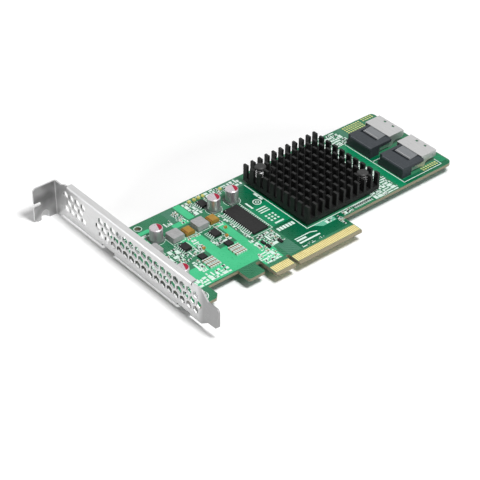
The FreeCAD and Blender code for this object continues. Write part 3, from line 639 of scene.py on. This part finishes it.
# Printed lines, each with its width.
PRINTED_LINES = [([(76.9, 62.0), (76.9, 17.2), (123.0, 17.2)], 0.45),
                 ([(137.3, 57.0), (137.3, 15.4), (162.3, 15.4), (162.3, 20.4)], 0.4),
                 ([(138.0, 37.6), (143.0, 37.6)], 0.4)]
BORDER, MEMORY_BORDER = 0.25, 0.3
MEMORY_LEFT, MEMORY_RIGHT, MEMORY_ENDS = 2.0, 1.9, 0.7
CAN_RING = (3.95, 4.15)
# The printed bar beside each chip resistor: from its side in X and past its two ends in Y.
BAR_NEAR, BAR_FAR, BAR_BEFORE, BAR_PAST = 0.08, 0.42, 0.4, 0.6


def silkscreen(ink):
    """Printed outlines, rings and plain marks. There is no lettering."""
    for points, width in PRINTED_LINES:
        ink.path(points, width)
    for low, high in islands("chip_resistors"):
        ink.box(high.x + BAR_NEAR, high.x + BAR_FAR, low.y - BAR_BEFORE, high.y + BAR_PAST)
    low, high = place("memory_chip")
    ink.border(low.x - MEMORY_LEFT, high.x + MEMORY_RIGHT, low.y - MEMORY_ENDS, high.y + MEMORY_ENDS,
               MEMORY_BORDER)
    for node in numbered("power_chip", 3):
        ink.border(*around(node, 1.5, 0.6), BORDER)
    for node in numbered("inductor", 3) + numbered("tantalum_capacitor", 2):
        ink.border(*around(node, 0.5, 0.5), BORDER)
    for node in numbered("capacitor_base", 4):
        ink.ring(*middle(node), CAN_RING, 28)
    plain_marks(ink)


# Plain printed marks: a target of two rings, solid blocks as X0, X1, Y0, Y1, bars, squares and ticks in
# rows, and a bent line.
TARGET, TARGET_OUTER, TARGET_INNER = (72.6, 47.6), (1.7, 2.2), (0.6, 1.0)
MARK_BLOCKS = [(67.2, 68.2, 44.8, 50.2), (68.2, 73.4, 29.0, 30.1), (66.8, 72.4, 12.2, 13.4),
               (66.8, 79.0, 10.3, 11.3), (75.3, 76.5, 47.6, 50.2), (75.3, 76.5, 50.8, 53.8)]
MARK_BARS_X, MARK_BARS_Y, MARK_BAR_HALF = (68.0, 73.6), (39.6, 41.2, 42.8), 0.35
MARK_SQUARES_X, MARK_SQUARES_Y, MARK_SQUARE_HALF = (68.6, 70.6, 72.6), (32.4, 34.4, 36.4), 0.55
MARK_TICK, MARK_TICKS, MARK_TICK_PITCH = (65.6, 66.9, 23.6, 26.0), 6, 1.7
BENT_MARK, BENT_WIDTH = [(66.8, 14.4), (76.0, 14.4), (79.2, 13.0)], 0.6


def plain_marks(ink):
    """Generic shapes on the open strips beside the memory chip and behind the contact tongue."""
    ink.ring(*TARGET, TARGET_OUTER, 28)
    ink.ring(*TARGET, TARGET_INNER, 20)
    for block in MARK_BLOCKS:
        ink.box(*block)
    for y in MARK_BARS_Y:
        ink.box(*MARK_BARS_X, y - MARK_BAR_HALF, y + MARK_BAR_HALF)
    for x in MARK_SQUARES_X:
        for y in MARK_SQUARES_Y:
            half = MARK_SQUARE_HALF
            ink.box(x - half, x + half, y - half, y + half)
    x0, x1, y0, y1 = MARK_TICK
    for i in range(MARK_TICKS):
        ink.box(x0 + i * MARK_TICK_PITCH, x1 + i * MARK_TICK_PITCH, y0, y1)
    ink.path(BENT_MARK, BENT_WIDTH)


# ---------------------------------------------------------------- small parts of the board

# Plan of each kind of small part, the sizes that it comes in, and how high the two-ended kinds stand.
PARTS = {"pad": (0.6, 0.9), "capacitor": (1.2, 0.6), "resistor": (1.2, 0.6), "via": (0.6, 0.6),
         "dash": (1.5, 0.3), "bar": (2.2, 0.55), "block": (1.5, 1.0)}
PART_SIZES = (1.0, 1.4, 1.8)
PART_HEIGHTS = {"capacitor": 0.55, "resistor": 0.35}
ROW_STEP, SKIP_STEP, PART_GAP = 0.75, 0.5, 0.3
BORDERED_SHARE, BORDER_GAP, THIN_BORDER = 0.35, 0.25, 0.12
END_SHARE, BODY_IN, BODY_DROP, PAD_MARGIN = 0.26, 0.04, 0.03, 0.05
CAP_SHARE, CAP_SKIN = 0.27, 0.02
VIA_RADII = (0.12, 0.28)

ALL_PARTS = ("capacitor", "resistor", "resistor", "pad", "bar", "block", "via")
PALE_PARTS = ("pad", "pad", "capacitor", "resistor", "bar", "block")
MINT_PARTS = ("block", "block", "bar", "pad", "resistor")

# Zones as X0, X1, Y0, Y1, how much of each is filled, and with what.
PART_ZONES = [((19.0, 23.4, 22.0, 31.0), 0.95, ALL_PARTS), ((22.6, 31.2, 33.6, 38.2), 0.95, ALL_PARTS),
              ((36.0, 46.0, 33.4, 38.2), 0.95, ALL_PARTS), ((43.2, 49.0, 57.4, 69.0), 0.95, MINT_PARTS),
              ((44.0, 50.6, 65.0, 69.2), 0.9, ALL_PARTS), ((50.4, 66.0, 63.6, 69.2), 0.95, ALL_PARTS),
              ((11.6, 19.0, 14.2, 20.8), 0.9, MINT_PARTS), ((19.0, 31.0, 15.0, 20.8), 0.75, MINT_PARTS),
              ((49.6, 64.0, 17.4, 27.6), 0.95, ALL_PARTS), ((44.8, 55.2, 8.6, 16.6), 0.8, PALE_PARTS),
              ((34.6, 38.6, 56.0, 66.0), 0.8, PALE_PARTS), ((27.4, 32.0, 58.6, 62.4), 0.9, PALE_PARTS),
              ((13.8, 20.6, 58.4, 60.8), 0.9, PALE_PARTS), ((117.4, 133.0, 13.8, 22.0), 0.95, MINT_PARTS),
              ((124.0, 133.0, 22.0, 57.0), 0.95, MINT_PARTS),
              ((124.0, 142.0, 57.4, 69.0), 0.95, MINT_PARTS),
              ((92.6, 95.2, 8.6, 16.9), 0.9, PALE_PARTS), ((97.0, 104.0, 14.0, 16.9), 0.9, PALE_PARTS),
              ((86.6, 92.0, 14.2, 17.0), 0.5, PALE_PARTS), ((66.0, 78.0, 63.6, 69.0), 0.5, PALE_PARTS),
              ((51.0, 53.0, 28.6, 57.0), 0.6, PALE_PARTS), ((15.6, 22.6, 32.0, 44.0), 0.75, ALL_PARTS),
              ((28.8, 32.6, 36.0, 47.6), 0.6, PALE_PARTS), ((43.6, 51.0, 44.0, 47.6), 0.6, PALE_PARTS),
              ((3.8, 15.0, 27.6, 42.6), 0.8, ALL_PARTS), ((3.8, 14.0, 50.6, 60.0), 0.7, ALL_PARTS),
              ((3.8, 13.0, 14.4, 19.6), 0.8, ALL_PARTS), ((20.4, 38.0, 44.6, 46.0), 0.9, PALE_PARTS),
              ((66.0, 80.0, 7.6, 9.4), 0.5, ("dash", "via"))]


def populate(cells, layers, zone, seed, share, kinds):
    """Fill a share of a zone with rows of small parts, pads, through holes and printed blocks."""
    rng = random.Random(seed)
    x0, x1, y0, y1 = zone
    y = y0
    while y < y1:
        x = x0 + rng.random() * SKIP_STEP
        while x < x1:
            kind = rng.choice(kinds)
            size = rng.choice(PART_SIZES)
            length, width = (side * size for side in PARTS[kind])
            if rng.random() < 0.5:
                length, width = width, length
            fits = x + length < x1 and y + width < y1
            if fits and rng.random() < share and reserve(cells, x, x + length, y, y + width):
                draw_part(layers, kind, x, x + length, y, y + width)
                if kind in PART_HEIGHTS and rng.random() < BORDERED_SHARE:
                    layers["ink"].border(x - BORDER_GAP, x + length + BORDER_GAP,
                                         y - BORDER_GAP, y + width + BORDER_GAP, THIN_BORDER)
                x += length + PART_GAP
            else:
                x += SKIP_STEP
        y += ROW_STEP


def draw_part(layers, kind, x0, x1, y0, y1):
    if kind == "pad":
        layers["pads"].box(x0, x1, y0, y1)
    elif kind == "via":
        layers["pads"].ring((x0 + x1) / 2, (y0 + y1) / 2, VIA_RADII, 8)
    elif kind in PART_HEIGHTS:
        two_ended(layers, kind, x0, x1, y0, y1)
    else:
        layers["ink"].box(x0, x1, y0, y1)


def two_ended(layers, kind, x0, x1, y0, y1):
    """Chip part on two pads: ceramic or film body between tinned ends."""
    height = PART_HEIGHTS[kind]
    body_levels = (BODY_IN, height - BODY_DROP)
    if x1 - x0 > y1 - y0:
        cut = (x1 - x0) * END_SHARE
        ends = [(x0, x0 + cut, y0, y1), (x1 - cut, x1, y0, y1)]
        layers[kind].box(x0 + cut, x1 - cut, y0 + BODY_IN, y1 - BODY_IN, body_levels)
    else:
        cut = (y1 - y0) * END_SHARE
        ends = [(x0, x1, y0, y0 + cut), (x0, x1, y1 - cut, y1)]
        layers[kind].box(x0 + BODY_IN, x1 - BODY_IN, y0 + cut, y1 - cut, body_levels)
    for a, b, c, d in ends:
        layers["ends"].box(a, b, c, d, (PAD_Z, height))
        layers["pads"].box(a - PAD_MARGIN, b + PAD_MARGIN, c - PAD_MARGIN, d + PAD_MARGIN)


def end_caps(ends):
    """Tinned ends of the CAD's own chip capacitors and resistors, as thin shells over each end."""
    for node in ("chip_capacitors", "chip_resistors"):
        for low, high in islands(node):
            cut = (high.y - low.y) * CAP_SHARE
            for y0, y1 in ((low.y - CAP_SKIN, low.y + cut), (high.y - cut, high.y + CAP_SKIN)):
                ends.box(low.x - CAP_SKIN, high.x + CAP_SKIN, y0, y1, (PAD_Z, high.z + CAP_SKIN))


# Middles of the little tantalum parts, half of a body's length and width, and half of an end's.
SMALL_TANTALUMS = ((30.6, 35.2), (48.2, 41.2), (44.6, 36.0))
TANTALUM_X, TANTALUM_Y, TANTALUM_SNIP, TANTALUM_LEVELS = 0.8, 0.55, 0.1, (0.05, 1.0)
TANTALUM_END_AT, TANTALUM_END_X, TANTALUM_END_Y, TANTALUM_END_Z = 0.95, 0.15, 0.4, 0.5


def small_tantalums(ends, finishes):
    """Three little moulded parts among the small ones, each with two tinned ends."""
    bodies = Layer("small_tantalums", finishes["tantalum_tan"], "tantalum_tan")
    for x, y in SMALL_TANTALUMS:
        outline = snipped(x - TANTALUM_X, x + TANTALUM_X, y - TANTALUM_Y, y + TANTALUM_Y, TANTALUM_SNIP)
        bodies.prism(outline, TANTALUM_LEVELS)
        for end in (x - TANTALUM_END_AT, x + TANTALUM_END_AT):
            ends.box(end - TANTALUM_END_X, end + TANTALUM_END_X, y - TANTALUM_END_Y, y + TANTALUM_END_Y,
                     (0, TANTALUM_END_Z))
    bodies.done()


# ---------------------------------------------------------------- gilt, tin and solder of the board

# Fields of test points, as X0, X1, Y0, Y1.
TEST_FIELDS = ((145.4, 158.0, 62.8, 69.0), (158.6, 166.2, 66.4, 69.0), (151.0, 161.6, 16.2, 19.4))
TEST_PITCH, TEST_RADII = 1.5, (0.2, 0.52)
CONTACT_WIDTH, CONTACT_STEP, GROUND_PAST = 0.7, 0.01, 0.3
TOOLING_RADII, SCREW_RADII = (1.7, 2.0), (3.3, 3.7)
LEG_X, LEG_IN, LEG_DROP = (1.2, 9.3), 0.18, (0.85, -0.8)
TAIL_ROWS_X, TAIL_START, TAIL_PITCH, TAILS, TAIL_DROP = (-1.8, 0.4), 2.6, 0.7, 18, (0.24, -0.3)
UNDER_VIAS, UNDER_VIAS_X, UNDER_VIAS_Y, UNDER_SEED = 420, (8, 164), (16, 67), 5


def dotted_fields(gilt):
    """Rows of bare gilt test points behind and in front of the cable ports."""
    for x0, x1, y0, y1 in TEST_FIELDS:
        columns, rows = round((x1 - x0) / TEST_PITCH), round((y1 - y0) / TEST_PITCH)
        for i in range(columns):
            for j in range(rows):
                gilt.ring(x0 + (i + 0.5) * TEST_PITCH, y0 + (j + 0.5) * TEST_PITCH, TEST_RADII, 10)


def finger_ground():
    """Bare laminate between the gold contacts, clear of the key notch."""
    bare = speckled("bare_laminate", tone(170, 152, 96), tone(190, 172, 112), 0.5, 0.4)
    ground = Layer("contact_ground", bare, "gold", PAD_Z - CONTACT_STEP)
    contacts = sorted(low.x for low, _ in islands("edge_contacts_front"))
    low, high = place("edge_contacts_front")
    for x, following in zip(contacts, contacts[1:]):
        if following - x < 2 * CONTACT_WIDTH:
            ground.box(x + CONTACT_WIDTH, following, low.y, high.y + GROUND_PAST)
    ground.done()


def hole_rims(pads):
    """Tinned ring round each tooling hole, on both faces, and round each bracket screw."""
    for name, spot in MOUNTS.items():
        if name.startswith("tooling_hole"):
            x, y, _ = (spot - DATUM) / MM
            pads.ring(x, y, TOOLING_RADII, 28)
            pads.ring(x, y, TOOLING_RADII, 28, UNDER_PADS)
    low, high = place("bracket_screws")
    half = (high.x - low.x) / 2
    for y in (low.y + half, high.y - half):
        pads.ring((low.x + high.x) / 2, y, SCREW_RADII, 32)


def solder_joints(joints):
    """Solder drops on the underside, on the port shields' legs and the ports' rows of tails."""
    for node in of_ports("shield"):
        low, high = place(node)
        radius, height = LEG_DROP
        for x in LEG_X:
            for y in (low.y + LEG_IN, high.y - LEG_IN):
                joints.drop(low.x + x, y, radius, UNDER_Z, height, 10)
        radius, height = TAIL_DROP
        for i in range(TAILS):
            for x in TAIL_ROWS_X:
                joints.drop(low.x + x, low.y + TAIL_START + i * TAIL_PITCH, radius, UNDER_Z, height, 8)


def underside_vias(pads):
    """Through holes on the plain side of the board."""
    rng = random.Random(UNDER_SEED)
    for _ in range(UNDER_VIAS):
        x, y = rng.uniform(*UNDER_VIAS_X), rng.uniform(*UNDER_VIAS_Y)
        pads.ring(x, y, VIA_RADII, 8, UNDER_PADS)


def dress_board(finishes):
    white = speckled("white_ink", tone(205, 226, 216), tone(226, 240, 232), 0.6, 0.3)
    gilt = speckled("gilt_points", tone(212, 208, 130), tone(236, 232, 164), 0.4, 0.2, 0.2)
    tin, tan, film = finishes["tin"], finishes["ceramic_tan"], finishes["resistor_black"]
    layers = {"ink": Layer("silkscreen", white, "board", INK_Z),
              "pads": Layer("solder_pads", tin, "tin", PAD_Z),
              "gilt": Layer("test_points", gilt, "gold", PAD_Z),
              "capacitor": Layer("small_capacitors", tan, "ceramic_tan"),
              "resistor": Layer("small_resistors", film, "resistor_black"),
              "ends": Layer("small_part_ends", tin, "tin"),
              "joints": Layer("solder_joints", tin, "tin")}
    pours_with_painted_light()
    silkscreen(layers["ink"])
    small_tantalums(layers["ends"], finishes)
    cells = taken_cells()
    for number, (zone, share, kinds) in enumerate(PART_ZONES):
        populate(cells, layers, zone, number, share, kinds)
    end_caps(layers["ends"])
    finger_ground()
    dotted_fields(layers["gilt"])
    hole_rims(layers["pads"])
    solder_joints(layers["joints"])
    underside_vias(layers["pads"])
    for layer in layers.values():
        layer.done()


# ---------------------------------------------------------------- print and details on the parts, with painted shade and painted highlights

# The crimson segment of a can: its chord's distance from the middle as a share of the radius, how far it
# is turned from +X, and the steps of half its arc.
SEGMENT_CHORD, SEGMENT_TURN, SEGMENT_STEPS = 0.3, -0.35, 8
CAN_EDGE, PRINT_Z, SCORE_WIDTH, SCORE_Z = 0.36, 0.02, 0.1, 0.04
PIN_ONE_RADII, PIN_ONE_Z, WIDE_CHIP_IN, SMALL_CHIP_IN = (0.16, 0.26), 0.01, 1.0, 0.6
STRIPE_X, STRIPE_IN, STRIPE_Z = (0.4, 1.0), 0.02, 0.015
TOOTH_PITCH, TOOTH_WIDTH, TOOTH_START, TOOTH_MARGIN = 0.9, 0.5, 0.7, 0.8
TOOTH_NEAR, TOOTH_FAR, TOOTH_SUNK, TOOTH_PROUD = 0.05, 0.45, 0.05, 0.06
# Size of the painted highlight strip along each port housing's edge, then of other small details.
RIM_NEAR, RIM_FAR, RIM_IN, RIM_SUNK, RIM_PROUD = 0.06, 0.1, 0.1, 0.05, 0.02
PIN_RING_RADII, PIN_RING_Z = (1.0, 1.25), 0.02
SAME_LEVEL = 0.01


def can_tops(finishes):
    """Crimson polarity segment and a raised score ring near the edge of each can."""
    crimson = speckled("crimson_print", tone(150, 20, 48), tone(168, 32, 60), 0.4, 0.2)
    segment = Layer("can_polarity_print", crimson, "can_aluminium")
    score = Layer("can_vent_scores", finishes["can_aluminium"], "can_aluminium")
    half = math.acos(SEGMENT_CHORD)
    steps = range(-SEGMENT_STEPS, SEGMENT_STEPS + 1)
    turns = [half * step / SEGMENT_STEPS + SEGMENT_TURN for step in steps]
    for node in numbered("capacitor_can", 4):
        low, high = place(node)
        x, y = middle(node)
        radius, top = (high.x - low.x) / 2 - CAN_EDGE, high.z
        arc = [(x + radius * math.cos(turn), y + radius * math.sin(turn)) for turn in turns]
        segment.prism(arc, (top, top + PRINT_Z))
        score.ring(x, y, (radius - SCORE_WIDTH, radius), 32, (top, top + SCORE_Z))
    segment.done()
    score.done()


def chip_marks(finishes):
    """Moulded pin-one dots and the polarity stripe of each tantalum part."""
    dots = Layer("pin_one_dots", finishes["tin"], "chip_black")
    for node in ["memory_chip"] + numbered("power_chip", 3):
        low, high = place(node)
        inset = WIDE_CHIP_IN if node == "memory_chip" else SMALL_CHIP_IN
        dots.ring(low.x + inset, high.y - inset, PIN_ONE_RADII, 14, (high.z, high.z + PIN_ONE_Z))
    dots.done()
    brown = speckled("brown_print", tone(112, 70, 20), tone(128, 84, 30), 0.45, 0.2)
    stripes = Layer("tantalum_stripes", brown, "tantalum_tan")
    for node in numbered("tantalum_capacitor", 2):
        low, high = place(node)
        near, far = STRIPE_X
        stripes.box(low.x + near, low.x + far, low.y + STRIPE_IN, high.y - STRIPE_IN,
                    (high.z, high.z + STRIPE_Z))
    stripes.done()


def pin_recess_shades():
    """Darker ring on each push pin's head: painted shade standing for a shallow driver recess."""
    dark = speckled("pin_recess_painted_shade", grey(0.028), grey(0.036), 0.6, 0.2)
    rings = Layer("push_pin_shade_rings", dark, "push_pin_plastic")
    for node in numbered("push_pin", 2):
        top = place(node)[1].z
        rings.ring(*middle(node), PIN_RING_RADII, 28, (top, top + PIN_RING_Z))
    rings.done()


def latch_teeth(finishes):
    """Fine grip teeth along the free edge of each port's latch."""
    teeth = Layer("latch_teeth", finishes["shield_steel"], "latch_steel")
    for node in of_ports("latch"):
        low, high = place(node)
        count = int((high.y - low.y - TOOTH_MARGIN) / TOOTH_PITCH)
        for i in range(count):
            y = low.y + TOOTH_START + i * TOOTH_PITCH
            teeth.box(low.x + TOOTH_NEAR, low.x + TOOTH_FAR, y, y + TOOTH_WIDTH,
                      (high.z - TOOTH_SUNK, high.z + TOOTH_PROUD))
    teeth.done()


def top_ridge(node):
    """X, lowest Y, highest Y and height of the first edge of a node's top face."""
    points = node_points(node)
    top = max(p.z for p in points)
    level = [p for p in points if p.z > top - SAME_LEVEL]
    first = min(p.x for p in level)
    ends = [p.y for p in level if p.x < first + SAME_LEVEL]
    return first, min(ends), max(ends), top


def housing_painted_highlights():
    """Painted highlight: a paler strip where each port housing's top meets its slope."""
    pale = speckled("port_plastic_painted_highlight", (0.13, 0.145, 0.16), (0.17, 0.185, 0.2), 0.35, 0.2)
    rims = Layer("port_painted_highlights", pale, "port_plastic")
    for node in of_ports("housing"):
        x, y0, y1, top = top_ridge(node)
        rims.box(x - RIM_NEAR, x + RIM_FAR, y0 + RIM_IN, y1 - RIM_IN, (top - RIM_SUNK, top + RIM_PROUD))
    rims.done()


def main():
    finishes = cad_finishes()
    finish_cad(finishes)
    dress_board(finishes)
    can_tops(finishes)
    chip_marks(finishes)
    pin_recess_shades()
    latch_teeth(finishes)
    housing_painted_highlights()
    make_camera()
    make_lamps()
    make_world()
    make_floor()


main()
